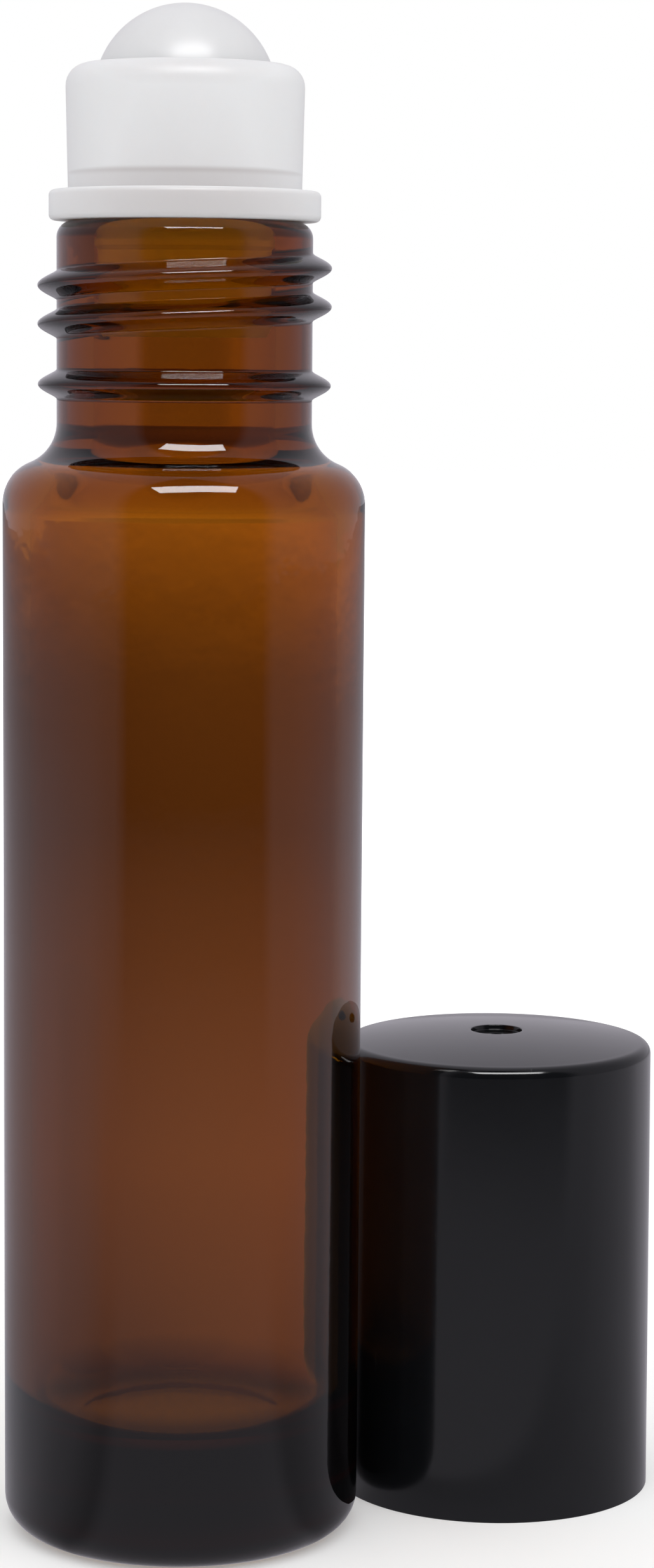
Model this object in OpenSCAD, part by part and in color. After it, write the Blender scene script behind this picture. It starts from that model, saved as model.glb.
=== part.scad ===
// Roll-on bottle for a liquid toiletry: a glass bottle, a press-in housing that
// holds the rolling ball, the ball, and a screw cap that stands beside it.
// Millimetres. The bottle's axis is Z, its base stands at zero, and the cap
// stands off along +X, mouth down.

/* [Bottle] */
// Outside diameter of the glass body
bottle_d = 20; // [19.6:0.1:30]
// Height of the glass, from the standing face to the lip
bottle_h = 73.3; // [40:0.1:110]
// Height of the shoulder, from the body's straight side to the neck's
shoulder_h = 4.4; // [3.4:0.1:6]
// Height of the neck above the shoulder
neck_h = 11; // [10.6:0.1:16]
// Thickness of the glass wall
glass_wall = 1.5; // [1:0.1:2.2]
// Thickness of the heavy glass base
base_t = 6.3; // [1.5:0.1:8]
// Radius where the wall turns under to the base
heel_r = 1.9; // [0.6:0.1:3]
// Radius inside the heel
inner_heel_r = 2.6; // [0.5:0.1:4]

/* [Neck finish] */
// Outside diameter of the neck between its ridges
neck_d = 14.05; // [13.5:0.05:14.6]
// Bore of the neck, which the housing's plug fits
neck_bore_d = 10; // [9:0.1:10.4]
// Radius of the outer edge of the lip
lip_r = 0.6; // [0.2:0.05:0.9]
// Radius of the inner edge of the lip
mouth_r = 0.35; // [0.1:0.05:0.5]
// How far the bead that stops the cap stands out of the neck
bead_out = 1.03; // [0.8:0.01:1.3]
// Width of the bead at its foot
bead_w = 1.5; // [1.2:0.1:2]
// Radius of the bead's crest
bead_tip_r = 0.5; // [0.2:0.05:0.55]
// Depth of the bead's middle below the lip
bead_drop = 8.9; // [8.4:0.1:9.6]

/* [Ball] */
// Diameter of the rolling ball
ball_d = 10; // [9.2:0.1:10.8]
// How far the ball stands out of its housing
ball_out = 3.3; // [2.5:0.1:3.9]
// Clearance between the ball and its cup
ball_gap = 0.1; // [0.05:0.01:0.2]

/* [Roller housing] */
// Wall of the housing at the ball's widest
cup_wall = 1.45; // [1:0.05:1.7]
// Height of the housing above its flange
housing_h = 6.8; // [6.2:0.1:8.4]
// How much narrower the housing is at its flange than at its rim
housing_draft = 0.3; // [0:0.05:0.5]
// Radius of the housing's upper edge
housing_edge_r = 1.2; // [0.6:0.05:1.4]
// Thickness of the bowl under the ball
bowl_t = 0.8; // [0.6:0.05:1.2]
// How far the flange stands out of the neck
flange_out = 0.425; // [0.2:0.025:0.6]
// Thickness of the flange
flange_t = 1.65; // [1:0.05:2.4]
// Radius of the flange's edges
flange_edge_r = 0.3; // [0.1:0.05:0.45]
// Length of the plug inside the neck
plug_l = 6.3; // [5:0.1:8]
// Wall of the plug
plug_wall = 0.85; // [0.6:0.05:1.2]
// Clearance between the plug's ribs and the bore
plug_gap = 0.05; // [0.03:0.01:0.08]
// Chamfer that leads the plug into the bore
plug_lead = 0.5; // [0.2:0.1:0.8]
// Number of sealing ribs round the plug
rib_count = 3; // [2:1:4]
// Height of a sealing rib
rib_out = 0.2; // [0.1:0.05:0.3]
// Width of a sealing rib at its foot
rib_w = 0.8; // [0.5:0.1:1]
// Width of a sealing rib at its crest
rib_crest_w = 0.3; // [0.1:0.1:0.4]
// Diameter of the hole that feeds the ball
feed_d = 2.6; // [1.5:0.1:3.6]
// Number of feed grooves down the seat
groove_count = 4; // [3:1:6]
// Width of a feed groove
groove_w = 0.7; // [0.4:0.1:1]
// Depth of a feed groove in the seat
groove_depth = 0.3; // [0.1:0.05:0.4]
// How far the feed grooves reach from the axis
groove_reach = 3.4; // [2.4:0.1:4]

/* [Cap] */
// Clearance between the neck's ridges and the cap's threaded bore
thread_gap = 0.245; // [0.15:0.005:0.4]
// Wall of the cap at its mouth, outside the thread
cap_wall = 0.9; // [0.7:0.05:1.3]
// How much narrower the cap is at its top than at its mouth
cap_draft = 0.35; // [0:0.05:0.6]
// How far the closed cap's mouth reaches below the lip
cap_reach = 12.4; // [11:0.1:12.6]
// Relief that opens the cap's mouth
cap_relief = 0.25; // [0.1:0.05:0.4]
// Depth of that relief
cap_relief_h = 0.9; // [0.4:0.1:1.5]
// Clearance round the flange inside the closed cap
flange_gap = 0.3; // [0.2:0.05:0.4]
// Clearance above the ball inside the closed cap
ball_room = 0.75; // [0.4:0.05:2]
// Thickness of the cap's top
cap_top_t = 1.4; // [1:0.1:2]
// Radius in the corner under the top
cap_corner_r = 1; // [0.4:0.1:2]
// Rise of the domed top above its edge
cap_dome_h = 0.6; // [0.2:0.05:1.2]
// Radius of the top edge
cap_edge_r = 0.35; // [0.1:0.05:0.6]
// Diameter of the ring that bears on the ball
stop_ring_d = 6.4; // [5:0.1:7]
// Thickness of that ring
stop_ring_t = 0.7; // [0.5:0.1:1]
// Diameter of the moulding gate's dimple
dimple_d = 3; // [2:0.1:4]
// Depth of the dimple
dimple_depth = 0.3; // [0.15:0.05:0.5]
// Diameter of the gate mark in the dimple
gate_d = 0.6; // [0.4:0.1:1]
// Depth of the gate mark
gate_depth = 0.12; // [0.05:0.01:0.2]
// Space between the bottle and the cap that stands beside it
cap_stand_gap = 0.9; // [0.4:0.1:30]

/* [Hidden] */
$fn = 96;
// Steps along a rounded corner of an outline
arc_steps = 10;
// How far a cut runs past the face that it opens
over = 0.5;

bottle_r = bottle_d / 2;
neck_r = neck_d / 2;
bore_r = neck_bore_d / 2;
bead_r = neck_r + bead_out;
lip_z = bottle_h;
bead_z = lip_z - bead_drop;
shoulder_z = lip_z - neck_h - shoulder_h;

flange_r = neck_r + flange_out;
flange_top_z = lip_z + flange_t;
rim_z = flange_top_z + housing_h;
ball_r = ball_d / 2;
cup_r = ball_r + ball_gap;
ball_z = rim_z + ball_out - ball_r;
housing_r = cup_r + cup_wall;
plug_foot_z = lip_z - plug_l;
rib_r = bore_r - plug_gap;
plug_r = rib_r - rib_out;
plug_bore_r = plug_r - plug_wall;

// The cap's heights are counted from its mouth
cap_bore_r = bead_r + thread_gap;
cap_room_r = flange_r + flange_gap;
cap_mouth_r = cap_bore_r + cap_wall;
cap_top_r = cap_mouth_r - cap_draft / 2;
cap_thread_top = cap_reach;
ball_in_cap = ball_z - lip_z + cap_reach;
cap_roof = ball_in_cap + ball_r + ball_room;
cap_h = cap_roof + cap_top_t;
cap_x = bottle_r + cap_stand_gap + cap_mouth_r;
// The ring's outer edge meets the ball when the cap is screwed down
stop_ring_r = stop_ring_d / 2;
stop_ring_foot = ball_in_cap + sqrt(ball_r * ball_r - stop_ring_r * stop_ring_r);

// Points along a rounded corner, from angle a0 to angle a1
function arc(centre, r, a0, a1) = [
    for (i = [0 : arc_steps])
        let (a = a0 + (a1 - a0) * i / arc_steps)
        centre + r * [cos(a), sin(a)]
];

// Two arcs of one radius that meet in a smooth S, from the wide wall at
// height z in to the narrow one at height z + h
function s_curve(wide_r, narrow_r, z, h) =
    let (
        w = wide_r - narrow_r,
        r = (w * w + h * h) / (4 * w),
        turn = asin(h / (2 * r))
    )
    concat(
        arc([wide_r - r, z], r, 0, turn),
        arc([narrow_r + r, z + h], r, 180 + turn, 180)
    );

function reversed(points) = [for (i = [len(points) - 1 : -1 : 0]) points[i]];

// Radius of the sphere whose cap is d wide and h deep
function cap_sphere_r(d, h) = (d * d / 4 + h * h) / (2 * h);

// The bead's outline, a ridge with steep flanks and a round crest
function bead_outline() = concat(
    [[neck_r, bead_z - bead_w / 2]],
    arc([bead_r - bead_tip_r, bead_z], bead_tip_r, -75, 75),
    [[neck_r, bead_z + bead_w / 2]]
);

// The glass outside, from the centre of the base to the lip
function glass_outside() = concat(
    [[0, 0]],
    arc([bottle_r - heel_r, heel_r], heel_r, -90, 0),
    s_curve(bottle_r, neck_r, shoulder_z, shoulder_h),
    bead_outline(),
    arc([neck_r - lip_r, lip_z - lip_r], lip_r, 0, 90)
);

// The glass inside, from the mouth to the centre of the floor
function glass_inside() =
    let (
        cavity_r = bottle_r - glass_wall,
        roof_z = shoulder_z - glass_wall / 2
    )
    concat(
        arc([bore_r + mouth_r, lip_z - mouth_r], mouth_r, 90, 180),
        reversed(s_curve(cavity_r, bore_r, roof_z, shoulder_h)),
        arc([cavity_r - inner_heel_r, base_t + inner_heel_r], inner_heel_r, 0, -90),
        [[0, base_t]]
    );

module bottle() {
    color([0.45, 0.22, 0.07])
    rotate_extrude()
    polygon(concat(glass_outside(), glass_inside()));
}

// One sealing rib, its middle at height zero
module sealing_rib() {
    root_r = plug_r - rib_out;
    rotate_extrude()
    polygon([
        [root_r, -rib_w / 2],
        [plug_r, -rib_w / 2],
        [rib_r, -rib_crest_w / 2],
        [rib_r, rib_crest_w / 2],
        [plug_r, rib_w / 2],
        [root_r, rib_w / 2]
    ]);
}

// The sealing ribs, evenly spaced between the plug's lead and the lip's edge
module plug_ribs() {
    pitch = (plug_l - plug_lead - mouth_r) / rib_count;
    for (i = [0 : rib_count - 1])
        translate([0, 0, plug_foot_z + plug_lead + (i + 0.5) * pitch])
        sealing_rib();
}

// The housing's solid of revolution, before its hollows are cut
module housing_blank() {
    edge = flange_edge_r;
    top_r = housing_edge_r;
    root_r = housing_r - housing_draft / 2;
    rotate_extrude()
    polygon(concat(
        [
            [0, plug_foot_z],
            [plug_r - plug_lead / 2, plug_foot_z],
            [plug_r, plug_foot_z + plug_lead],
            [plug_r, lip_z]
        ],
        arc([flange_r - edge, lip_z + edge], edge, -90, 0),
        arc([flange_r - edge, flange_top_z - edge], edge, 0, 90),
        [[root_r, flange_top_z]],
        arc([housing_r - top_r, rim_z - top_r], top_r, 0, 90),
        [[0, rim_z]]
    ));
}

// The plug's hollow, whose roof follows the ball so that the bowl is even
module plug_hollow() {
    difference() {
        translate([0, 0, plug_foot_z - over])
        cylinder(r = plug_bore_r, h = ball_z - plug_foot_z + over);
        translate([0, 0, ball_z])
        sphere(cup_r + bowl_t);
    }
}

// Grooves down the seat that let the liquid past the ball
module feed_grooves() {
    intersection() {
        translate([0, 0, ball_z])
        sphere(cup_r + groove_depth);
        for (i = [0 : groove_count - 1])
            rotate([0, 0, i * 360 / groove_count])
            translate([0, -groove_w / 2, ball_z - cup_r - bowl_t])
            cube([groove_reach, groove_w, cup_r]);
    }
}

module roller_housing() {
    color([0.90, 0.90, 0.91])
    difference() {
        union() {
            housing_blank();
            plug_ribs();
        }
        translate([0, 0, ball_z])
        sphere(cup_r);
        plug_hollow();
        feed_grooves();
        translate([0, 0, plug_foot_z])
        cylinder(d = feed_d, h = ball_z - plug_foot_z);
    }
}

module roller_ball() {
    color([0.93, 0.93, 0.94])
    translate([0, 0, ball_z])
    sphere(ball_r);
}

// The cap's outside, from the centre of its domed top down to the mouth
function cap_outside() =
    let (
        edge_r = cap_top_r - cap_edge_r,
        dome_r = cap_sphere_r(2 * edge_r, cap_dome_h),
        half = asin(edge_r / dome_r)
    )
    concat(
        arc([0, cap_h + cap_dome_h - dome_r], dome_r, 90, 90 - half),
        arc([edge_r, cap_h - cap_edge_r], cap_edge_r, 90, 0),
        [[cap_mouth_r, 0]]
    );

// The cap's inside, from the mouth up to the middle of its roof
function cap_inside() =
    let (ring_r = stop_ring_r - stop_ring_t)
    concat(
        [
            [cap_bore_r + cap_relief, 0],
            [cap_bore_r + cap_relief, cap_relief_h - cap_relief],
            [cap_bore_r, cap_relief_h],
            [cap_bore_r, cap_thread_top],
            [cap_room_r, cap_thread_top + cap_bore_r - cap_room_r]
        ],
        arc([cap_room_r - cap_corner_r, cap_roof - cap_corner_r], cap_corner_r, 0, 90),
        [
            [stop_ring_r, cap_roof],
            [stop_ring_r, stop_ring_foot],
            [ring_r, stop_ring_foot],
            [ring_r, cap_roof],
            [0, cap_roof]
        ]
    );

// The moulding gate's dimple, with the gate mark at its centre
module gate_dimple() {
    dish_r = cap_sphere_r(dimple_d, dimple_depth);
    dish_z = cap_h + cap_dome_h - dimple_depth;
    translate([0, 0, dish_z + dish_r])
    sphere(dish_r);
    translate([0, 0, dish_z - gate_depth])
    cylinder(d = gate_d, h = gate_depth + dimple_depth);
}

module cap() {
    color([0.09, 0.09, 0.10])
    translate([cap_x, 0, 0])
    difference() {
        rotate_extrude()
        polygon(concat(cap_outside(), cap_inside()));
        gate_dimple();
    }
}

bottle();
roller_housing();
roller_ball();
cap();
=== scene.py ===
# %% [markdown]
# A roll-on bottle of amber glass, with its black screw cap standing beside it.
# Four pieces are made here: the glass, the plastic housing pressed into its
# neck, the ball that rolls in the housing, and the cap. Each one takes its
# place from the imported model, which is loaded first and never moved.

# %% The frame
from math import acos, asin, atan2, ceil, cos, hypot, pi, radians, sin, tan

import bmesh
import bpy
from mathutils import Matrix, Vector


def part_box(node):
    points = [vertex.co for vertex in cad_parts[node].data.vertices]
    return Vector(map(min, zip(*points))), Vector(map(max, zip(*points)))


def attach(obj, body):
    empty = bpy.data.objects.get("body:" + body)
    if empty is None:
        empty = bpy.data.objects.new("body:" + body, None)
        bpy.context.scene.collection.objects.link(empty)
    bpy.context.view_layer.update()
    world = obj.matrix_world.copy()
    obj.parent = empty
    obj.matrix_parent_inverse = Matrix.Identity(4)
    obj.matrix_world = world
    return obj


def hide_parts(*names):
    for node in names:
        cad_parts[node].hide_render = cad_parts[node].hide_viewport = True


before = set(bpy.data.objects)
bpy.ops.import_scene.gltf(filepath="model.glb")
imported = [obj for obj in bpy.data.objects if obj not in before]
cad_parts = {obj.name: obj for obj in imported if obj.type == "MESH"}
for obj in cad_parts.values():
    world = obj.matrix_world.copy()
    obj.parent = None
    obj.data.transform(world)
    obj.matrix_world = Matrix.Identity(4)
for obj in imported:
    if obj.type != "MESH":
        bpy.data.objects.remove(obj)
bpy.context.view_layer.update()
bottle_lo, bottle_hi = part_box("bottle")
housing_lo, housing_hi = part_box("roller_housing")
ball_lo, ball_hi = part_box("roller_ball")
cap_lo, cap_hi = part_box("cap")
print("bottle height", round(bottle_hi[2] - bottle_lo[2], 4), "cap height", round(cap_hi[2] - cap_lo[2], 4))

# %% [markdown]
# The camera comes early, because every look is seen through it. Its place
# was worked out from the bottle's outlines, as a distance, a height and an
# angle round the bottle's axis. A look-at constraint would be simpler, but it
# can't hold the slight roll, so three plain turns aim the camera instead.

# %% The camera
CAMERA_DISTANCE = 0.205
CAMERA_HEIGHT = 0.06694
CAMERA_AZIMUTH = radians(23.81)  # from the front towards the left
CAMERA_PAN = radians(2.24)
CAMERA_TILT = radians(6.85)
CAMERA_ROLL = radians(0.45)
CAMERA_LENS = 84.95

towards_camera = Vector((-sin(CAMERA_AZIMUTH), -cos(CAMERA_AZIMUTH), 0))
camera = bpy.data.objects.new("camera", bpy.data.cameras.new("camera"))
bpy.context.collection.objects.link(camera)
camera.data.lens = CAMERA_LENS
camera.matrix_world = (
    Matrix.Translation(towards_camera * CAMERA_DISTANCE + Vector((0, 0, CAMERA_HEIGHT)))
    @ Matrix.Rotation(-CAMERA_AZIMUTH - CAMERA_PAN, 4, "Z")
    @ Matrix.Rotation(pi / 2 - CAMERA_TILT, 4, "X")
    @ Matrix.Rotation(CAMERA_ROLL, 4, "Z")
)
bpy.context.scene.camera = camera
bpy.context.scene.view_settings.view_transform = "Standard"
print("camera at", [round(v, 4) for v in camera.matrix_world.translation])

# %% [markdown]
# Shader nodes are wired by many lines that look alike. A few small helpers
# keep them short: one makes a node and fills its sockets, one mixes colours,
# and one is a ramp of greys.

# %% Helpers for nodes
MIX_A, MIX_B, MIX_RESULT = 6, 7, 2  # the colour sockets of a Mix node


def add_node(tree, kind, inputs=(), **settings):
    """A node of this kind; inputs gives each socket a value, or another node's output."""
    node = tree.nodes.new(kind)
    for name, value in settings.items():
        setattr(node, name, value)
    for key, value in dict(inputs).items():
        if isinstance(value, bpy.types.NodeSocket):
            tree.links.new(value, node.inputs[key])
        else:
            node.inputs[key].default_value = value
    return node


def calculate(tree, operation, *values):
    """A Math node's result."""
    return add_node(tree, "ShaderNodeMath", enumerate(values), operation=operation).outputs[0]


def mix_colours(tree, factor, a, b):
    """A colour between a and b."""
    node = add_node(tree, "ShaderNodeMix", {0: factor, MIX_A: a, MIX_B: b}, data_type="RGBA")
    return node.outputs[MIX_RESULT]


def greys(tree, factor, stops):
    """A ramp of greys; stops are pairs of place and value."""
    node = add_node(tree, "ShaderNodeValToRGB", {"Fac": factor})
    elements = node.color_ramp.elements
    while len(elements) < len(stops):
        elements.new(0.5)
    for element, (place, value) in zip(elements, stops):
        element.position = place
        element.color = (value, value, value, 1)
    return node.outputs["Color"]


def new_material(name):
    """An empty material, its node tree and its output node."""
    material = bpy.data.materials.new(name)
    material.use_nodes = True
    tree = material.node_tree
    tree.nodes.clear()
    return material, tree, tree.nodes.new("ShaderNodeOutputMaterial")


# %% [markdown]
# Glass and gloss show whatever stands round them, so the room matters as much
# as the lamp. This one has a pale wall behind the bottle and a darker room
# behind the camera. A picture of a room could light the scene, but ramps over
# the direction are easier to steer. The camera sees plain white, and matt
# surfaces get one even grey. Reflections have one ramp. What shows through the
# glass has another, warmer and with a darker spot straight behind the bottle,
# because the light that crosses amber glass decides its colour.

# %% The room
WHITE = (1, 1, 1, 1)
ROOM_LIGHT = (0.88, 0.88, 0.88, 1)  # for matt surfaces
LIGHT_THROUGH_GLASS = (5.3, 5.4, 6.0, 1)  # room and lamp together, for matt surfaces behind glass
ROOM_TINT = (0.96, 0.92, 1.02)
WARM_ROOM_TINT = (0.96, 0.7, 1.02)  # in light that comes through glass
DARK_SIDE_TURN = radians(7.5)  # from the camera's side, seen from above
# From the side behind the bottle, 0, to the dark side in front, 1
ROOM_TONES = ((0.0, 0.64), (0.2, 0.5), (0.45, 0.4), (0.8, 0.34), (0.868, 0.06), (1.0, 0.04))
ROOM_THROUGH_GLASS = ((0.0, 1.13), (0.3, 1.03), (0.5, 0.77), (0.8, 0.6), (0.868, 0.08), (1.0, 0.06))
# By the cosine of the angle from straight behind the bottle
DARK_SPOT = ((0.988, 1.0), (0.995, 0.71))

dark_side = Matrix.Rotation(DARK_SIDE_TURN, 3, "Z") @ towards_camera
right_side = Matrix.Rotation(pi / 2, 3, "Z") @ towards_camera


def facing(tree, vector, way):
    """How far a vector, seen from above, points this way: 1 is straight there, 0 straight away."""
    flat = add_node(tree, "ShaderNodeVectorMath", {0: vector, 1: (1, 1, 0)}, operation="MULTIPLY")
    unit = add_node(tree, "ShaderNodeVectorMath", {0: flat.outputs[0]}, operation="NORMALIZE")
    along = add_node(tree, "ShaderNodeVectorMath", {0: unit.outputs[0], 1: way}, operation="DOT_PRODUCT")
    return calculate(tree, "MULTIPLY_ADD", along.outputs["Value"], 0.5, 0.5)


def tinted(tree, tone, tint=ROOM_TINT):
    """A tone in a colour: the room's slightly cool one, or another."""
    return add_node(tree, "ShaderNodeVectorMath", {0: tint, "Scale": tone}, operation="SCALE").outputs[0]


world = bpy.data.worlds.new("room")
world.use_nodes = True
bpy.context.scene.world = world
tree = world.node_tree
tree.nodes.clear()
path = add_node(tree, "ShaderNodeLightPath")
direction = add_node(tree, "ShaderNodeTexCoord").outputs["Generated"]
to_front = facing(tree, direction, dark_side)
behind = add_node(tree, "ShaderNodeVectorMath", {0: direction, 1: -towards_camera}, operation="DOT_PRODUCT")
spot = greys(tree, behind.outputs["Value"], DARK_SPOT)
through = calculate(tree, "MULTIPLY", greys(tree, to_front, ROOM_THROUGH_GLASS), spot)
through = tinted(tree, through, WARM_ROOM_TINT)
reflected = tinted(tree, greys(tree, to_front, ROOM_TONES))
in_piece = mix_colours(tree, path.outputs["Is Transmission Ray"], reflected, through)
after_matt = calculate(tree, "GREATER_THAN", path.outputs["Diffuse Depth"], 0.5)
matt_light = mix_colours(tree, path.outputs["Is Transmission Ray"], ROOM_LIGHT, LIGHT_THROUGH_GLASS)
colour = mix_colours(tree, after_matt, in_piece, matt_light)
colour = mix_colours(tree, path.outputs["Is Camera Ray"], colour, WHITE)
background = add_node(tree, "ShaderNodeBackground", {"Color": colour, "Strength": 1})
add_node(tree, "ShaderNodeOutputWorld", {"Surface": background.outputs[0]})
print("room tones", len(ROOM_TONES))

# %% [markdown]
# One soft lamp above and a little to the right of the camera draws the short
# white bars on the glass. Their length and place give its size and height: it
# spans nearly 70 degrees of the ring round the bottle. A lamp as bright as
# those bars would bleach the white plastic, so it shows in gloss alone, and a
# weaker lamp at the same place shades the matt surfaces.

# %% The lamps
LAMP_TURN = radians(10.5)
LAMP_HEIGHT_ANGLE = radians(59)
LAMP_DISTANCE = 0.6
LAMP_SIZE = (0.42, 0.17)
LAMP_POWER = 2.7
SHADING_SIZE = (0.5, 0.5)
SHADING_POWER = 1.1

lamp_way = Matrix.Rotation(LAMP_TURN, 3, "Z") @ towards_camera * cos(LAMP_HEIGHT_ANGLE)
lamp_way.z = sin(LAMP_HEIGHT_ANGLE)


def area_lamp(name, size, power, in_gloss, on_matt):
    """A rectangle of light that faces the bottle."""
    light = bpy.data.lights.new(name, "AREA")
    light.shape = "RECTANGLE"
    light.size, light.size_y = size
    light.energy = power
    lamp = bpy.data.objects.new(name, light)
    aim = lamp_way.to_track_quat("Z", "Y").to_matrix().to_4x4()
    lamp.matrix_world = Matrix.Translation(lamp_way * LAMP_DISTANCE) @ aim
    lamp.visible_camera = lamp.visible_transmission = False
    lamp.visible_glossy, lamp.visible_diffuse = in_gloss, on_matt
    bpy.context.collection.objects.link(lamp)
    return lamp


softbox = area_lamp("softbox", LAMP_SIZE, LAMP_POWER, True, False)
area_lamp("shading", SHADING_SIZE, SHADING_POWER, False, True)
print("lamps at", [round(v, 3) for v in softbox.location])

# %% [markdown]
# The table is one large plane. Seen by the camera it is white with a soft
# shadow, so its paint gets a little light of its own. A photograph of a table
# could be laid on it, but only its tones matter here: they show in the black
# cap and through the glass. So each of these two gets a ramp over the distance
# from the bottle, lowered by direction and darkest towards the front. The one
# seen through the glass has painted shade in it: the bottle's shadow, dark
# under its foot, and light that falls off further away.

# %% The table
TABLE_SIZE = 3.0
TABLE_PAINT = (0.8, 0.8, 0.8, 1)
TONE_REACH = 1.5  # the distance from the bottle that the ramps below count as 1
TABLE_GLOW = ((0.0, 0.25), (0.08, 0.25), (0.2, 1.0))
# Reflected tones by distance, at the sides and in front
SIDE_TONES = ((0.0, 0.5), (0.02, 0.6), (0.045, 0.73), (0.09, 0.78), (0.13, 0.8), (0.33, 0.6), (0.9, 0.42))
FRONT_TONES = ((0.0, 0.48), (0.07, 0.4), (0.13, 0.22), (0.25, 0.06), (0.9, 0.04))
FRONT_START = ((0.815, 0.0), (0.868, 1.0))  # where the sides give way to the front, by direction
# Shares of the side tones by direction: from behind to the front, and from left to right
TURN_SHARES = ((0.05, 0.68), (0.26, 0.84), (0.46, 0.9), (0.68, 0.77), (0.8, 0.54))
RIGHT_SHARES = ((0.1, 1.0), (0.93, 1.0), (0.98, 0.76))
# Tones through the glass by distance, with a painted shadow of the bottle near
# its foot, and shares of them from left to right
THROUGH_SHADOW_TONES = (
    (0.006, 0.02), (0.011, 0.22), (0.022, 0.34), (0.06, 0.5),
    (0.2, 0.28), (0.36, 0.34), (0.6, 0.7), (0.85, 1.0),
)
THROUGH_SHARES = ((0.2, 0.56), (0.38, 0.62), (0.45, 0.71), (0.5, 0.8), (0.55, 0.9), (0.6, 1.0))
THROUGH_GAIN = 1.12  # raises all of them alike
NEAR_TINT = (0.98, 0.585, 0.9, 1)
FAR_TINT = (1.04, 0.68, 0.9, 1)

bm = bmesh.new()
bmesh.ops.create_grid(bm, x_segments=1, y_segments=1, size=TABLE_SIZE / 2)
table_mesh = bpy.data.meshes.new("table")
bm.to_mesh(table_mesh)
bm.free()
table = bpy.data.objects.new("table", table_mesh)
bpy.context.collection.objects.link(table)

material, tree, output = new_material("table_paint")
path = add_node(tree, "ShaderNodeLightPath")
place = add_node(tree, "ShaderNodeTexCoord").outputs["Object"]
distance = add_node(tree, "ShaderNodeVectorMath", {0: place}, operation="LENGTH").outputs["Value"]
reach = calculate(tree, "DIVIDE", distance, TONE_REACH)
to_front, to_right = facing(tree, place, dark_side), facing(tree, place, right_side)
front = greys(tree, to_front, FRONT_START)
sides = calculate(tree, "MULTIPLY", greys(tree, reach, SIDE_TONES), greys(tree, to_front, TURN_SHARES))
sides = calculate(tree, "MULTIPLY", sides, greys(tree, to_right, RIGHT_SHARES))
reflected = tinted(tree, mix_colours(tree, front, sides, greys(tree, reach, FRONT_TONES)))
# Painted shade: the bottle's shadow under its foot, and light falling off with distance
through = greys(tree, reach, THROUGH_SHADOW_TONES)
through = calculate(tree, "MULTIPLY", through, greys(tree, to_right, THROUGH_SHARES))
through = calculate(tree, "MULTIPLY", through, THROUGH_GAIN)
through = tinted(tree, through, mix_colours(tree, reach, NEAR_TINT, FAR_TINT))
shown = mix_colours(tree, path.outputs["Is Transmission Ray"], reflected, through)
seen_in_piece = add_node(tree, "ShaderNodeEmission", {"Color": shown, "Strength": 1})
paint = add_node(tree, "ShaderNodeBsdfDiffuse", {"Color": TABLE_PAINT})
own_light = calculate(tree, "MULTIPLY", path.outputs["Is Camera Ray"], greys(tree, reach, TABLE_GLOW))
glow = add_node(tree, "ShaderNodeEmission", {"Color": WHITE, "Strength": own_light})
lit = add_node(tree, "ShaderNodeAddShader", {0: paint.outputs[0], 1: glow.outputs[0]})
in_piece = calculate(tree, "MAXIMUM", path.outputs["Is Glossy Ray"], path.outputs["Is Transmission Ray"])
before_matt = calculate(tree, "LESS_THAN", path.outputs["Diffuse Depth"], 0.5)
in_piece = calculate(tree, "MULTIPLY", in_piece, before_matt)
surface = add_node(tree, "ShaderNodeMixShader", {0: in_piece, 1: lit.outputs[0], 2: seen_in_piece.outputs[0]})
tree.links.new(surface.outputs[0], output.inputs["Surface"])
table_mesh.materials.append(material)
print("table", TABLE_SIZE, "m wide")

# %% [markdown]
# The glass, the housing and the cap are all round, so each is drawn as half
# of its section and turned about its axis, as on a lathe. A Screw modifier
# could do that too, but bmesh's spin leaves a finished mesh that can be shaped
# further. The pen below draws a section with straight lines and arcs, and
# rounds its corners with a vertex bevel.

# %% A pen for half sections
TURN_STEPS = 224
CORNER_STEPS = 8
WELD = 1e-7


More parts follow.
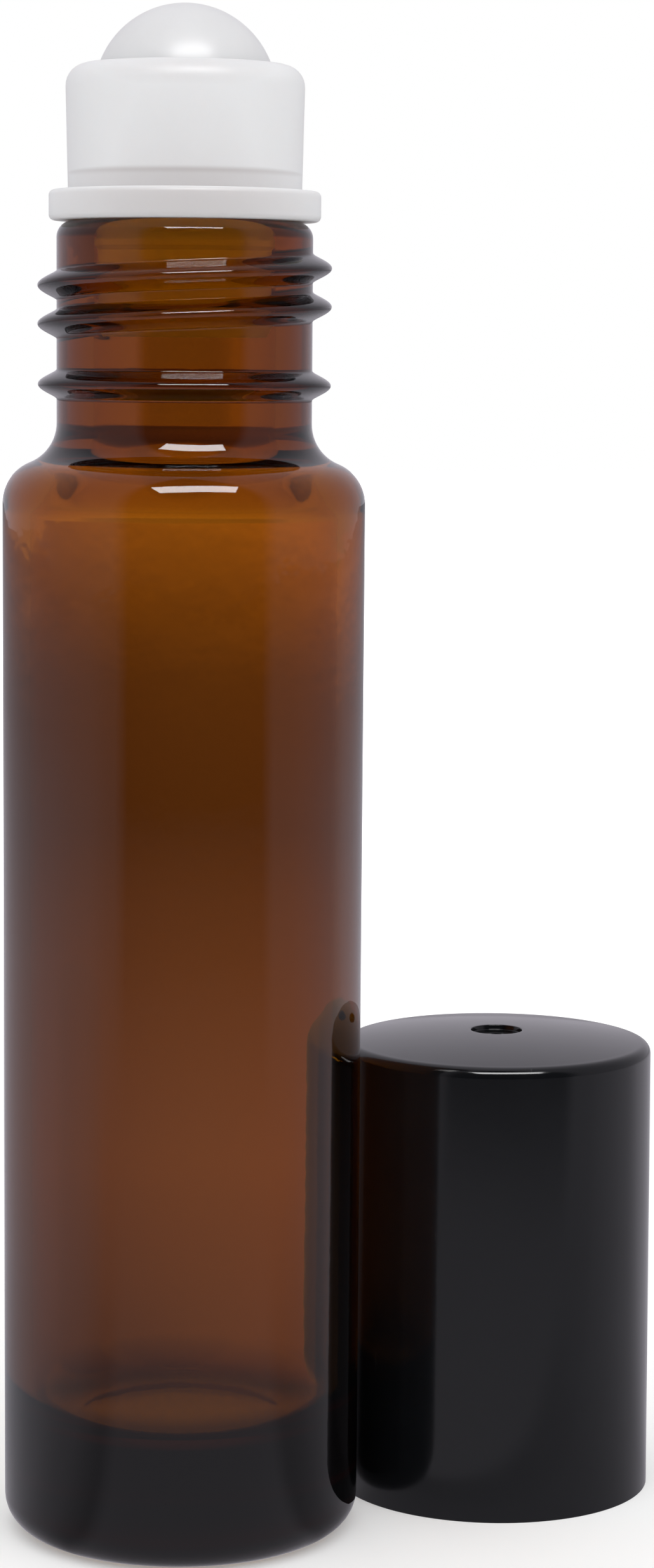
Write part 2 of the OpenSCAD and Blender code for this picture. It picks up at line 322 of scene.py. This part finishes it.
class Section:
    """A half section: x is the distance from the axis and z the height."""

    def __init__(self, r, z):
        self.mesh = bmesh.new()
        self.tip = self.first = self.mesh.verts.new((r, 0, z))
        self.corners = []

    def line(self, r, z, corner=0.0):
        """A straight line to a point, whose corner is rounded later to this radius."""
        end = self.mesh.verts.new((r, 0, z))
        self.mesh.edges.new((self.tip, end))
        self.tip = end
        if corner:
            self.corners.append((end, corner))
        return self

    def arc(self, centre_r, centre_z, turn, steps):
        """An arc about a centre, from the tip through an angle."""
        made = bmesh.ops.spin(
            self.mesh, geom=[self.tip], cent=(centre_r, 0, centre_z), axis=(0, -1, 0),
            dvec=(0, 0, 0), angle=turn, steps=steps, use_merge=False,
        )
        self.tip = made["geom_last"][0]
        return self

    def close(self):
        """A last line back to the first point."""
        self.mesh.edges.new((self.tip, self.first))
        return self

    def round_corners(self):
        """Rounds the corners that were given a radius."""
        for vert, radius in self.corners:
            before, after = (edge.other_vert(vert).co - vert.co for edge in vert.link_edges)
            reach = radius / tan(before.angle(after) / 2)
            bmesh.ops.bevel(
                self.mesh, geom=[vert], offset=reach, offset_type="OFFSET", affect="VERTICES",
                segments=CORNER_STEPS, profile=0.5, material=-1,
            )
        self.corners = []
        return self

    def refine(self, step, wanted):
        """Divides the edges whose middle is wanted, until each is no longer than step."""
        for edge in [e for e in self.mesh.edges if wanted((e.verts[0].co + e.verts[1].co) / 2)]:
            cuts = ceil(edge.calc_length() / step) - 1
            if cuts > 0:
                bmesh.ops.subdivide_edges(self.mesh, edges=[edge], cuts=cuts)
        return self

    def turned(self, steps=TURN_STEPS):
        """The closed solid of revolution, with its faces outwards."""
        bm = self.mesh
        bmesh.ops.spin(
            bm, geom=bm.verts[:] + bm.edges[:], cent=(0, 0, 0), axis=(0, 0, 1),
            dvec=(0, 0, 0), angle=2 * pi, steps=steps, use_merge=True,
        )
        bmesh.ops.remove_doubles(bm, verts=bm.verts, dist=WELD)
        bmesh.ops.recalc_face_normals(bm, faces=bm.faces)
        return bm


print("pen ready,", TURN_STEPS, "steps a turn")

# %% [markdown]
# A finished mesh becomes an object at the origin that rides on a body of the
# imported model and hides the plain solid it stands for. Its faces are shaded
# smooth, and edges that really are sharp stay so by their angle. A volume above
# zero says that the faces point outwards.

# %% From mesh to piece
SHARP_EDGE = radians(38)
CUBIC_MM = 1e9  # in a cubic metre


def finish_piece(bm, name, node, body, material):
    """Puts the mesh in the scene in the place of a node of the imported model."""
    for face in bm.faces:
        face.smooth = True
    for edge in bm.edges:
        edge.smooth = not edge.is_manifold or edge.calc_face_angle() < SHARP_EDGE
    mesh = bpy.data.meshes.new(name)
    bm.to_mesh(mesh)
    open_edges = sum(not edge.is_manifold for edge in bm.edges)
    volume = round(bm.calc_volume(signed=True) * CUBIC_MM)
    bm.free()
    piece = bpy.data.objects.new(name, mesh)
    bpy.context.collection.objects.link(piece)
    mesh.materials.append(material)
    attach(piece, body)
    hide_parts(node)
    print(name, "has", len(mesh.polygons), "faces,", open_edges, "open edges and", volume, "mm3")
    return piece


# %% [markdown]
# No moulded surface is perfectly even: plastic takes a fine grain from its
# mould, and glass keeps a slight wave from cooling. All the materials here use
# one node group for that, each with its own scale and depth. It gives a
# patchy mask, a roughness and a normal, and the shaders stay outside it.

# %% The moulded skin group
PATCH_DETAIL = 4.0
PATCH_ROUGHNESS = 0.6
PATCH_EDGES = (0.3, 0.7)  # noise values at which the mask starts and is full
GRAIN_DETAIL = 3.0

skin = bpy.data.node_groups.new("moulded_skin", "ShaderNodeTree")
for name, kind, default in (
    ("Patch Scale", "NodeSocketFloat", 120.0),
    ("Grain Scale", "NodeSocketFloat", 900.0),
    ("Roughness", "NodeSocketFloat", 0.2),
    ("Spread", "NodeSocketFloat", 0.05),
    ("Wave", "NodeSocketFloat", 0.00002),
    ("Grain", "NodeSocketFloat", 0.000002),
):
    socket = skin.interface.new_socket(name, in_out="INPUT", socket_type=kind)
    socket.default_value = default
for name, kind in (
    ("Mask", "NodeSocketFloat"),
    ("Roughness", "NodeSocketFloat"),
    ("Normal", "NodeSocketVector"),
):
    skin.interface.new_socket(name, in_out="OUTPUT", socket_type=kind)

given = skin.nodes.new("NodeGroupInput").outputs
place = add_node(skin, "ShaderNodeTexCoord").outputs["Object"]
patches = add_node(
    skin, "ShaderNodeTexNoise",
    {"Vector": place, "Scale": given["Patch Scale"], "Detail": PATCH_DETAIL, "Roughness": PATCH_ROUGHNESS},
).outputs["Fac"]
grain = add_node(
    skin, "ShaderNodeTexNoise", {"Vector": place, "Scale": given["Grain Scale"], "Detail": GRAIN_DETAIL}
).outputs["Fac"]
mask = add_node(
    skin, "ShaderNodeMapRange", {"Value": patches, "From Min": PATCH_EDGES[0], "From Max": PATCH_EDGES[1]}
).outputs["Result"]
about_zero = calculate(skin, "SUBTRACT", mask, 0.5)
roughness = calculate(skin, "MULTIPLY_ADD", about_zero, given["Spread"], given["Roughness"])
wave = add_node(skin, "ShaderNodeBump", {"Height": patches, "Distance": given["Wave"]}).outputs[0]
fine = add_node(skin, "ShaderNodeBump", {"Height": grain, "Distance": given["Grain"], "Normal": wave})
add_node(skin, "NodeGroupOutput", {"Mask": mask, "Roughness": roughness, "Normal": fine.outputs[0]})


def moulded_skin(tree, values):
    """The group placed in a material with its own values."""
    node = add_node(tree, "ShaderNodeGroup", node_tree=skin)
    for name, value in values.items():
        node.inputs[name].default_value = value
    return node.outputs


print("moulded skin group has", len(skin.nodes), "nodes")

# %% [markdown]
# Amber glass takes its colour from iron and sulphur all through it, so thick
# parts look darker than thin ones. Painting the surface brown would look the
# same everywhere. Volume absorption inside a clear refracting shell darkens
# with the length of glass that the light crosses, which is what makes the
# heavy base almost black. The skin itself is nearly clear. On the neck its
# colour is a little darker, as painted shade.

# %% Amber glass
GLASS_IOR = 1.52
GLASS_TINT = (0.97, 0.87, 0.66, 1)
# Painted shade: the neck's glass is coloured a little darker than the body's
NECK_SHADE_TINT = (0.873, 0.783, 0.594, 1)
NECK_TINT_Z = (0.0592, 0.0612)  # the heights between which the one turns into the other
GLASS_LETS_THROUGH = (0.79, 0.66, 0.05, 1)
GLASS_DENSITY = 1750.0  # per metre
GLASS_SKIN = {
    "Patch Scale": 130.0, "Grain Scale": 1500.0, "Roughness": 0.02,
    "Spread": 0.02, "Wave": 0.00002, "Grain": 0.0,
}


def object_height(tree):
    """The height of each point of the piece, in metres."""
    place = add_node(tree, "ShaderNodeTexCoord").outputs["Object"]
    return add_node(tree, "ShaderNodeSeparateXYZ", {0: place}).outputs["Z"]


def between(tree, value, low, high):
    """How far a value has come from low, 0, to high, 1."""
    node = add_node(tree, "ShaderNodeMapRange", {"Value": value, "From Min": low, "From Max": high})
    return node.outputs["Result"]


glass, tree, output = new_material("amber_glass")
in_neck = between(tree, object_height(tree), *NECK_TINT_Z)
marks = moulded_skin(tree, GLASS_SKIN)
surface = add_node(
    tree, "ShaderNodeBsdfPrincipled",
    {
        "Base Color": mix_colours(tree, in_neck, GLASS_TINT, NECK_SHADE_TINT),
        "Roughness": marks["Roughness"],
        "IOR": GLASS_IOR,
        "Transmission Weight": 1.0,
        "Normal": marks["Normal"],
    },
)
inside = add_node(tree, "ShaderNodeVolumeAbsorption", {"Color": GLASS_LETS_THROUGH, "Density": GLASS_DENSITY})
tree.links.new(surface.outputs[0], output.inputs["Surface"])
tree.links.new(inside.outputs[0], output.inputs["Volume"])
print("glass density", GLASS_DENSITY)

# %% [markdown]
# The housing is natural plastic, moulded with no colour in it: milky, with
# light that enters, spreads and leaves again. Plain paint would look like
# chalk. Part of the light passes through and part scatters below the skin.
# Thick and thin places give back different amounts of it, which a render of
# scattered light shows too weakly. So light and shade are painted into the
# colour by height: painted shade on a band of the plug, at the flange and the
# solid ring above it, a fine painted dark line where the cup begins, and
# painted shade again at the rim, which keeps the lamp's shine there faint.

# %% Natural plastic
MILK = (0.9, 0.9, 0.91, 1)
MILK_SHADE = (0.6, 0.565, 0.565, 1)
MILK_MOTTLE = 0.04
# Painted light: the plastic is made lighter where it turns away from the eye
MILK_EDGE_LIGHT = 0.9  # how much lighter it is where it turns away
# Painted light and shade of the plastic, from the plug's foot, 0, to the rim, 1
PLUG_TONES = ((0.0, 0.75), (0.23, 0.75), (0.27, 0.5), (0.35, 0.5), (0.4, 0.85), (0.42, 0.85))
FLANGE_TONES = ((0.44, 0.32), (0.53, 0.3), (0.585, 0.34), (0.6, 0.0))
CUP_TONES = ((0.615, 0.75), (0.7, 0.8), (0.9, 0.92), (0.94, 0.7), (1.0, 0.2))
MILK_LIGHT_AND_SHADE = PLUG_TONES + FLANGE_TONES + CUP_TONES
MILK_SKIN = {
    "Patch Scale": 200.0, "Grain Scale": 2500.0, "Roughness": 0.42,
    "Spread": 0.08, "Wave": 0.00001, "Grain": 0.000003,
}
MILK_LETS_THROUGH = 0.12
MILK_SCATTER = 0.3
SCATTER_COLOURS = (1.0, 0.9, 0.85)  # how far red, green and blue spread, as shares of the depth
MILK_SCATTER_DEPTH = 0.001
PLASTIC_IOR = 1.5

natural, tree, output = new_material("natural_plastic")
marks = moulded_skin(tree, MILK_SKIN)
climb = between(tree, object_height(tree), housing_lo[2], housing_hi[2])
# Painted light and shade: the ramp darkens the plastic by height
tone = calculate(tree, "MULTIPLY_ADD", marks["Mask"], MILK_MOTTLE, greys(tree, climb, MILK_LIGHT_AND_SHADE))
# Painted light at the edges, where the surface turns away from the eye
turned_away = add_node(tree, "ShaderNodeLayerWeight").outputs["Facing"]
tone = calculate(tree, "MULTIPLY_ADD", turned_away, MILK_EDGE_LIGHT, tone)
surface = add_node(
    tree, "ShaderNodeBsdfPrincipled",
    {
        "Base Color": mix_colours(tree, tone, MILK_SHADE, MILK),
        "Roughness": marks["Roughness"],
        "IOR": PLASTIC_IOR,
        "Transmission Weight": MILK_LETS_THROUGH,
        "Subsurface Weight": MILK_SCATTER,
        "Subsurface Radius": SCATTER_COLOURS,
        "Subsurface Scale": MILK_SCATTER_DEPTH,
        "Normal": marks["Normal"],
    },
)
tree.links.new(surface.outputs[0], output.inputs["Surface"])
print("natural plastic, tones", len(MILK_LIGHT_AND_SHADE))

# %% [markdown]
# The ball is ground and polished after moulding, so it is smoother than the
# housing, with a finer and shallower grain. A mirror finish would turn the lamp
# into a hard spot, so some blur is kept, and light scatters below the skin too.

# %% Polished ball
BALL_PAINT = (0.735, 0.735, 0.745, 1)
BALL_SHADE = (0.71, 0.71, 0.72, 1)
BALL_SKIN = {
    "Patch Scale": 260.0, "Grain Scale": 3000.0, "Roughness": 0.34,
    "Spread": 0.06, "Wave": 0.000004, "Grain": 0.000001,
}
BALL_SCATTER = 0.4
BALL_SCATTER_DEPTH = 0.0015

polished, tree, output = new_material("polished_ball")
marks = moulded_skin(tree, BALL_SKIN)
surface = add_node(
    tree, "ShaderNodeBsdfPrincipled",
    {
        "Base Color": mix_colours(tree, marks["Mask"], BALL_SHADE, BALL_PAINT),
        "Roughness": marks["Roughness"],
        "IOR": PLASTIC_IOR,
        "Subsurface Weight": BALL_SCATTER,
        "Subsurface Radius": SCATTER_COLOURS,
        "Subsurface Scale": BALL_SCATTER_DEPTH,
        "Normal": marks["Normal"],
    },
)
tree.links.new(surface.outputs[0], output.inputs["Surface"])
print("ball roughness", BALL_SKIN["Roughness"])

# %% [markdown]
# The cap's black plastic has a soft gloss. Its colour is nearly nothing; what
# the eye sees is the reflected room, blurred by a fine grain, and a few pale
# scuffs where the cap was handled. The scuffs are a stretched noise cut off
# high, so that only its crests show.

# %% Black plastic
BLACK = (0.0032, 0.0036, 0.0044, 1)
WORN_BLACK = (0.0044, 0.005, 0.006, 1)
SCUFF_GREY = (0.02, 0.02, 0.021, 1)
SCUFF_TURN = (0.0, 0.6, 0.4)
SCUFF_DENSITY = (2600.0, 2600.0, 300.0)  # per metre, across the scuffs and along them
SCUFF_DETAIL = 2.0
SCUFF_CRESTS = ((0.74, 0.0), (0.8, 1.0))
BLACK_SKIN = {
    "Patch Scale": 180.0, "Grain Scale": 4000.0, "Roughness": 0.12,
    "Spread": 0.06, "Wave": 0.000006, "Grain": 0.000001,
}

black, tree, output = new_material("black_plastic")
marks = moulded_skin(tree, BLACK_SKIN)
place = add_node(tree, "ShaderNodeTexCoord").outputs["Object"]
stretched = add_node(
    tree, "ShaderNodeMapping", {"Vector": place, "Rotation": SCUFF_TURN, "Scale": SCUFF_DENSITY}
).outputs[0]
streaks = add_node(tree, "ShaderNodeTexNoise", {"Vector": stretched, "Scale": 1.0, "Detail": SCUFF_DETAIL})
scuffs = greys(tree, streaks.outputs["Fac"], SCUFF_CRESTS)
colour = mix_colours(tree, marks["Mask"], BLACK, WORN_BLACK)
surface = add_node(
    tree, "ShaderNodeBsdfPrincipled",
    {
        "Base Color": mix_colours(tree, scuffs, colour, SCUFF_GREY),
        "Roughness": marks["Roughness"],
        "IOR": PLASTIC_IOR,
        "Normal": marks["Normal"],
    },
)
tree.links.new(surface.outputs[0], output.inputs["Surface"])
print("black roughness", BLACK_SKIN["Roughness"])

# %% [markdown]
# The glass is one skin: up the outside from the standing face, over the lip,
# and down the inside to the floor of the hollow. A wall could be given to the
# outside by a Solidify modifier, but then the base would be no thicker than
# the side. So the inside is drawn too, and the shoulder is an S of two equal
# arcs on either face.

# %% The glass section
BOTTLE_RADIUS = bottle_hi[0]
LIP_Z = bottle_hi[2]
SHOULDER_Z = 0.0579
SHOULDER_HEIGHT = 0.0044
NECK_RADIUS = 0.007025
BORE_RADIUS = 0.005
GLASS_WALL = 0.0015
BASE_THICKNESS = 0.0063
HEEL_RADIUS = 0.0019
INNER_HEEL_RADIUS = 0.0026
LIP_RADIUS = 0.0009
MOUTH_RADIUS = 0.00035
SHOULDER_STEPS = 12

cavity_radius = BOTTLE_RADIUS - GLASS_WALL
inner_shoulder_z = SHOULDER_Z - GLASS_WALL / 2


def s_curve(section, from_r, from_z, to_r, to_z):
    """Two equal arcs from one upright wall to another."""
    width, height = abs(to_r - from_r), abs(to_z - from_z)
    radius = (width**2 + height**2) / (4 * width)
    turn = asin(height / (2 * radius))
    inwards = 1 if to_r < from_r else -1
    upwards = 1 if to_z > from_z else -1
    section.line(from_r, from_z)
    section.arc(from_r - inwards * radius, from_z, inwards * upwards * turn, SHOULDER_STEPS)
    section.arc(to_r + inwards * radius, to_z, -inwards * upwards * turn, SHOULDER_STEPS)


glass_section = Section(0, 0).line(BOTTLE_RADIUS, 0, corner=HEEL_RADIUS)
s_curve(glass_section, BOTTLE_RADIUS, SHOULDER_Z, NECK_RADIUS, SHOULDER_Z + SHOULDER_HEIGHT)
glass_section.line(NECK_RADIUS, LIP_Z, corner=LIP_RADIUS).line(BORE_RADIUS, LIP_Z, corner=MOUTH_RADIUS)
s_curve(glass_section, BORE_RADIUS, inner_shoulder_z + SHOULDER_HEIGHT, cavity_radius, inner_shoulder_z)
glass_section.line(cavity_radius, BASE_THICKNESS, corner=INNER_HEEL_RADIUS).line(0, BASE_THICKNESS)
glass_section.round_corners()
print("glass section has", len(glass_section.mesh.verts), "points")

# %% [markdown]
# A bottle's thread is a ridge that winds round the neck, pressed by the mould,
# so it is soft all over and fades out at both ends. A swept section joined by
# a boolean would leave a hard seam. Here the neck gets many fine rings, and
# each of their points moves out by how near it lies to the ridge.

# %% Ridges
RIDGE_STEP = 0.00007
RIDGE_POWER = 1.5  # more draws the crest in


def ridge(away, half_width):
    """How high a ridge stands at this distance from its middle, from 0 to 1."""
    return max(0.0, 1 - (away / half_width) ** 2) ** RIDGE_POWER


def thread(place, start_turn, start_z, pitch, turns, fade, half_width):
    """How high a right-handed thread stands at a point of its wall, from 0 to 1."""
    best = 0.0
    turn = (atan2(place.y, place.x) - start_turn) / (2 * pi) % 1
    while turn < turns:
        ends = min(1.0, turn / fade, (turns - turn) / fade)
        height = ridge(place.z - start_z - pitch * turn, half_width)
        best = max(best, height * ends * ends * (3 - 2 * ends))
        turn += 1
    return best


def push(verts, amount):
    """Moves each vertex away from the axis by amount(its place)."""
    for vert in verts:
        radius = hypot(vert.co.x, vert.co.y)
        grown = (radius + amount(vert.co)) / radius
        vert.co.x, vert.co.y = vert.co.x * grown, vert.co.y * grown


print("ridge rings every", RIDGE_STEP, "m")

# %% [markdown]
# Below the thread stands the bead, a closed ring that stops the cap's edge. It
# could be drawn in the section, but as a ridge of the same kind it blends with
# the thread, and both are pushed out of the same fine rings in one go.

# %% The neck's bead and thread
BEAD_Z = 0.0644
BEAD_OUT = 0.00103
BEAD_HALF_WIDTH = 0.0008
THREAD_START_TURN = radians(96)
THREAD_START_Z = 0.06732
THREAD_PITCH = 0.0021
THREAD_TURNS = 1.92
THREAD_FADE = 0.17
THREAD_OUT = 0.00105
THREAD_HALF_WIDTH = 0.0008

neck_foot = SHOULDER_Z + SHOULDER_HEIGHT
mid_wall = (NECK_RADIUS + BORE_RADIUS) / 2


def on_neck(place):
    """Whether a point lies on the neck's outer wall."""
    outside = hypot(place.x, place.y) > mid_wall
    return outside and neck_foot - WELD < place.z < LIP_Z - LIP_RADIUS + WELD


def neck_ridges(place):
    """How far the bead or the thread stands out at a point."""
    bead = BEAD_OUT * ridge(place.z - BEAD_Z, BEAD_HALF_WIDTH)
    wound = thread(
        place, THREAD_START_TURN, THREAD_START_Z, THREAD_PITCH, THREAD_TURNS, THREAD_FADE, THREAD_HALF_WIDTH
    )
    return max(bead, THREAD_OUT * wound)


bm = glass_section.refine(RIDGE_STEP, on_neck).turned()
push([v for v in bm.verts if on_neck(v.co)], neck_ridges)
finish_piece(bm, "bottle_glass", "bottle", "bottle", glass)

# %% [markdown]
# The housing takes the most skill of the four. Its plug is pressed into the
# neck and seals with three ribs, its flange closes on the lip, and its rim
# curls over the ball past its widest line, so that the ball snaps in and
# can't fall out. The bowl under the ball is even, with a hole and four grooves
# that wet the ball. Plug, flange and cup could be three solids joined by
# booleans, but the real one is one shot of plastic, so its section is one line.

# %% The housing section
BALL_RADIUS = (ball_hi[2] - ball_lo[2]) / 2
BALL_Z = (ball_hi[2] + ball_lo[2]) / 2
RIM_Z = housing_hi[2]
FOOT_Z = housing_lo[2]
FLANGE_RADIUS = housing_hi[0]
FLANGE_THICKNESS = 0.00165
FLANGE_EDGE = 0.0003
BALL_GAP = 0.0001
CUP_WALL = 0.00145
RIM_EDGE = 0.0012
HOUSING_DRAFT = 0.0003  # how much wider the cup is at its rim than at its flange
BOWL_THICKNESS = 0.0008
PLUG_RADIUS = 0.00475
PLUG_BORE = 0.0039
PLUG_LEAD = 0.0005
RIB_RADIUS = 0.00495
RIB_WIDTH = 0.0008
RIB_CREST = 0.0003
RIB_COUNT = 3
FEED_RADIUS = 0.0013
SEAT_STEPS = 72
BOWL_STEPS = 16

cup_radius = BALL_RADIUS + BALL_GAP
bowl_radius = cup_radius + BOWL_THICKNESS
housing_radius = cup_radius + CUP_WALL
flange_top = LIP_Z + FLANGE_THICKNESS

section = Section(PLUG_BORE, FOOT_Z).line(PLUG_RADIUS - PLUG_LEAD / 2, FOOT_Z)
section.line(PLUG_RADIUS, FOOT_Z + PLUG_LEAD)
rib_pitch = (LIP_Z - MOUTH_RADIUS - FOOT_Z - PLUG_LEAD) / RIB_COUNT
for number in range(RIB_COUNT):
    rib_z = FOOT_Z + PLUG_LEAD + (number + 0.5) * rib_pitch
    section.line(PLUG_RADIUS, rib_z - RIB_WIDTH / 2)
    section.line(RIB_RADIUS, rib_z - RIB_CREST / 2, corner=RIB_CREST / 2)
    section.line(RIB_RADIUS, rib_z + RIB_CREST / 2, corner=RIB_CREST / 2)
    section.line(PLUG_RADIUS, rib_z + RIB_WIDTH / 2)
section.line(PLUG_RADIUS, LIP_Z).line(FLANGE_RADIUS, LIP_Z, corner=FLANGE_EDGE)
section.line(FLANGE_RADIUS, flange_top, corner=FLANGE_EDGE)
section.line(housing_radius - HOUSING_DRAFT / 2, flange_top)
section.line(housing_radius, RIM_Z, corner=RIM_EDGE)

rim_turn = asin((RIM_Z - BALL_Z) / cup_radius)
feed_turn = acos(FEED_RADIUS / cup_radius)
section.line(cup_radius * cos(rim_turn), RIM_Z).arc(0, BALL_Z, -rim_turn - feed_turn, SEAT_STEPS)
under_turn = acos(FEED_RADIUS / bowl_radius)
section.line(FEED_RADIUS, BALL_Z - bowl_radius * sin(under_turn))
section.arc(0, BALL_Z, under_turn - acos(PLUG_BORE / bowl_radius), BOWL_STEPS)
section.close().round_corners()
print("housing section has", len(section.mesh.verts), "points")

# %% [markdown]
# The feed grooves run down the seat at the four quarters. Cutting them with a
# boolean would leave slivers on a wall this thin. Their walls are soft, so the
# seat's own points can be pushed down into them, away from the ball's centre,
# with the same ridge curve as the thread.

# %% The feed grooves
GROOVE_COUNT = 4
GROOVE_HALF_WIDTH = 0.00045
GROOVE_DEPTH = 0.0003
GROOVE_REACH = 0.0034

bm = section.turned()
centre = Vector((0, 0, BALL_Z))
for vert in bm.verts:
    spoke = vert.co - centre
    radius = hypot(spoke.x, spoke.y)
    if spoke.z < 0 and radius < GROOVE_REACH and abs(spoke.length - cup_radius) < BALL_GAP / 2:
        turn = atan2(spoke.y, spoke.x) % (2 * pi / GROOVE_COUNT)
        beside = radius * sin(min(turn, 2 * pi / GROOVE_COUNT - turn))
        spoke.length += GROOVE_DEPTH * ridge(beside, GROOVE_HALF_WIDTH)
        vert.co = centre + spoke
finish_piece(bm, "housing_moulding", "roller_housing", "fitment", natural)

# %% [markdown]
# The ball is a true sphere. A globe of rings has pinched poles that catch the
# light when it is polished, so this one starts as a twenty-sided solid, whose
# faces are split evenly.

# %% The ball
BALL_SPLITS = 6

bm = bmesh.new()
bmesh.ops.create_icosphere(
    bm, subdivisions=BALL_SPLITS, radius=BALL_RADIUS, matrix=Matrix.Translation(centre)
)
finish_piece(bm, "polished_roller", "roller_ball", "ball", polished)

# %% [markdown]
# The cap is a deep moulded cup, mouth down. Its top is slightly domed, with a
# flat-bottomed dimple in the middle where the plastic entered the mould, and
# under the roof a ring bears on the ball to keep it sealed. A hollowed cylinder
# would do for the outside, but the lathe gives the inside with no more work. The
# cap is drawn and threaded on the bottle's axis, and only then moved to its place.

# %% The cap section
CAP_HEIGHT = cap_hi[2] - cap_lo[2]
CAP_MOUTH_RADIUS = (cap_hi[0] - cap_lo[0]) / 2
CAP_DRAFT = 0.000175  # how much less the radius is at the top
CAP_TOP_RADIUS = CAP_MOUTH_RADIUS - CAP_DRAFT
CAP_WALL = 0.0009
CAP_EDGE = 0.0006
CAP_THREADED = 0.0124
CAP_RELIEF = 0.00025
CAP_RELIEF_HEIGHT = 0.0009
CAP_ROOM_RADIUS = 0.00775
CAP_ROOF = 0.0249
CAP_CORNER = 0.001
DOME_RISE = 0.0006
RING_RADIUS = 0.0032
RING_THICKNESS = 0.0007
RING_FOOT = 0.02299
DIMPLE_RADIUS = 0.0015
DIMPLE_DEPTH = 0.0003
DIMPLE_EDGE = 0.00005
GATE_RADIUS = 0.0003
GATE_DEPTH = 0.00012
DOME_STEPS = 24

cap_bore = CAP_MOUTH_RADIUS - CAP_WALL
rim_z = CAP_HEIGHT - DOME_RISE


def sphere_radius(half_width, height):
    """The radius of a sphere whose cap is this high on this half width."""
    return (half_width**2 + height**2) / (2 * height)


dome_half = CAP_TOP_RADIUS - CAP_EDGE
dome_radius = sphere_radius(dome_half, DOME_RISE)
dome_centre = CAP_HEIGHT - dome_radius
floor_z = CAP_HEIGHT - DIMPLE_DEPTH

section = Section(0, floor_z - GATE_DEPTH).line(GATE_RADIUS, floor_z - GATE_DEPTH, corner=GATE_DEPTH / 2)
section.line(GATE_RADIUS, floor_z).line(DIMPLE_RADIUS - DIMPLE_EDGE, floor_z, corner=DIMPLE_EDGE)
inner_angle, outer_angle = asin(DIMPLE_RADIUS / dome_radius), asin(dome_half / dome_radius)
section.line(DIMPLE_RADIUS, dome_centre + dome_radius * cos(inner_angle), corner=DIMPLE_EDGE)
section.arc(0, dome_centre, inner_angle - outer_angle, DOME_STEPS)
section.arc(dome_half, rim_z - CAP_EDGE, -pi / 2, CORNER_STEPS)
section.line(CAP_MOUTH_RADIUS, 0).line(cap_bore + CAP_RELIEF, 0)
section.line(cap_bore + CAP_RELIEF, CAP_RELIEF_HEIGHT - CAP_RELIEF).line(cap_bore, CAP_RELIEF_HEIGHT)
section.line(cap_bore, CAP_THREADED).line(CAP_ROOM_RADIUS, CAP_THREADED + cap_bore - CAP_ROOM_RADIUS)
section.line(CAP_ROOM_RADIUS, CAP_ROOF, corner=CAP_CORNER).line(RING_RADIUS, CAP_ROOF)
section.line(RING_RADIUS, RING_FOOT).line(RING_RADIUS - RING_THICKNESS, RING_FOOT)
section.line(RING_RADIUS - RING_THICKNESS, CAP_ROOF).line(0, CAP_ROOF)
section.round_corners()
print("cap section has", len(section.mesh.verts), "points")

# %% [markdown]
# The cap's thread is the neck's turned inwards, with the same pitch and ridge.
# It starts above the relief at the mouth and winds further round, so that it
# holds the neck's thread over its whole height.

# %% The cap's thread
CAP_THREAD_IN = 0.0009
CAP_THREAD_START_Z = 0.0028
CAP_THREAD_TURNS = 2.6
ON_BORE = 0.0001  # a point this near the bore lies on it


def in_cap_thread(place):
    """Whether a point lies on the threaded part of the cap's bore."""
    on_bore = abs(hypot(place.x, place.y) - cap_bore) < ON_BORE
    return on_bore and CAP_RELIEF_HEIGHT < place.z < CAP_THREADED


def cap_ridges(place):
    """How far the thread moves a point, which is inwards, so below zero."""
    wound = thread(
        place, 0, CAP_THREAD_START_Z, THREAD_PITCH, CAP_THREAD_TURNS, THREAD_FADE, THREAD_HALF_WIDTH
    )
    return -CAP_THREAD_IN * wound


bm = section.refine(RIDGE_STEP, in_cap_thread).turned()
push([v for v in bm.verts if in_cap_thread(v.co)], cap_ridges)
bmesh.ops.translate(bm, verts=bm.verts, vec=((cap_lo[0] + cap_hi[0]) / 2, 0, cap_lo[2]))
finish_piece(bm, "cap_moulding", "cap", "cap", black)
